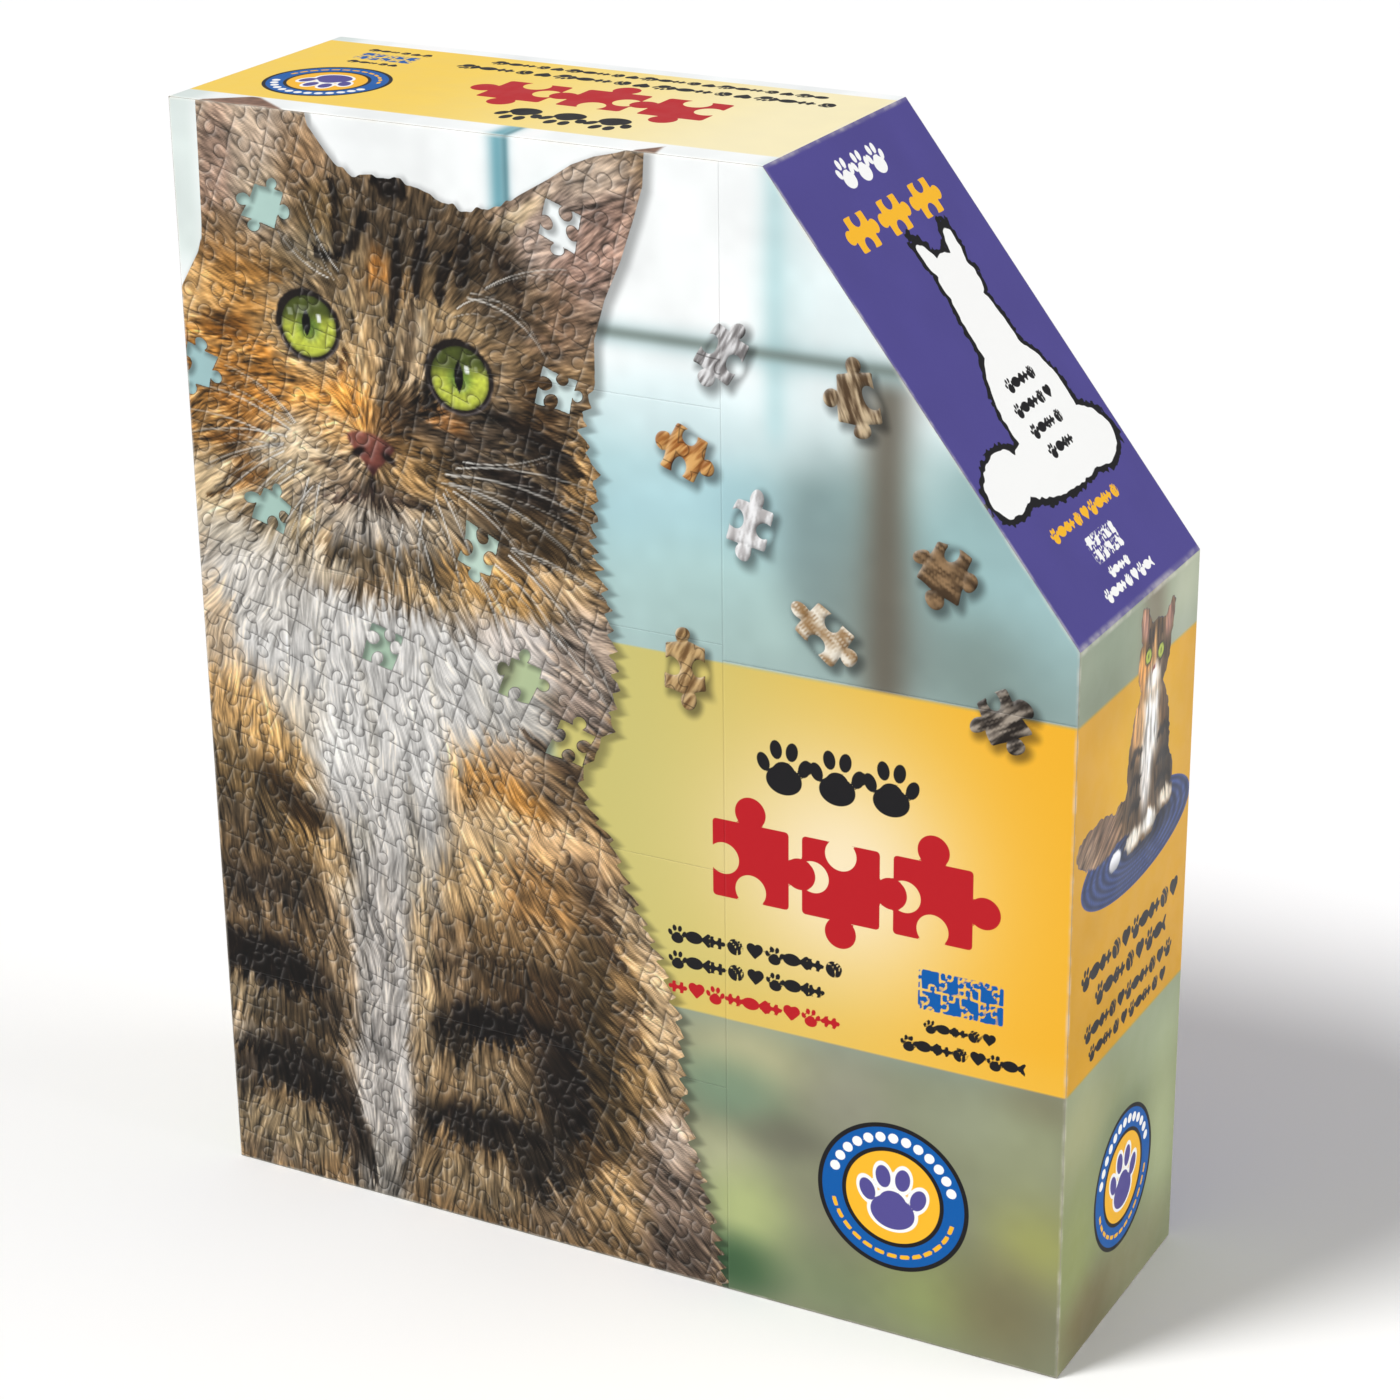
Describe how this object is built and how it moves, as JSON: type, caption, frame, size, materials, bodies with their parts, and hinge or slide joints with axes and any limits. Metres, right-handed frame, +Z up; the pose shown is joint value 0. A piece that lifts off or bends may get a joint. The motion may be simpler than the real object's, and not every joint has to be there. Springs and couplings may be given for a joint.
{
  "type": "boxed jigsaw puzzle",
  "caption": "Upright five-sided lift-off box with a pictorial lid, a tray, a clear bag of interlocking jigsaw pieces and a folded picture sheet.",
  "frame": {"origin": "centre of the underside of the closed, standing box's bounding box", "axes": "+Z up along the box's height, front panel faces -Y, the cut corner is at the top on the +X side"},
  "size_m": [0.24, 0.076, 0.292],
  "materials": {
    "lid_print": "satin printed",
    "tray_paper": "satin printed",
    "grey_board": "matte",
    "stay_tape": "matte",
    "clear_film": "clear gloss",
    "sheet_paper": "satin printed",
    "puzzle_board": "printed face, grey back"
  },
  "bodies": {
    "tray": {"tray_board": "grey_board", "tray_corner_tapes": "stay_tape", "tray_wrap": "tray_paper", "bag_film": "clear_film", "picture_sheet": "sheet_paper", "left_ear_pieces": "puzzle_board", "right_ear_pieces": "puzzle_board", "forehead_pieces": "puzzle_board", "eye_pieces": "puzzle_board", "muzzle_pieces": "puzzle_board", "cheek_pieces": "puzzle_board", "bib_pieces": "puzzle_board", "shoulder_pieces": "puzzle_board", "flank_pieces": "puzzle_board", "foreleg_pieces": "puzzle_board", "paw_pieces": "puzzle_board", "tail_pieces": "puzzle_board"},
    "lid": {"lid_board": "grey_board", "lid_corner_tapes": "stay_tape", "lid_wrap": "lid_print"}
  },
  "joints": [
    {"name": "lid_slide", "type": "slide", "parent": "tray", "child": "lid", "axis": [0, -1, 0], "range_m": [0, 0.12]}
  ]
}
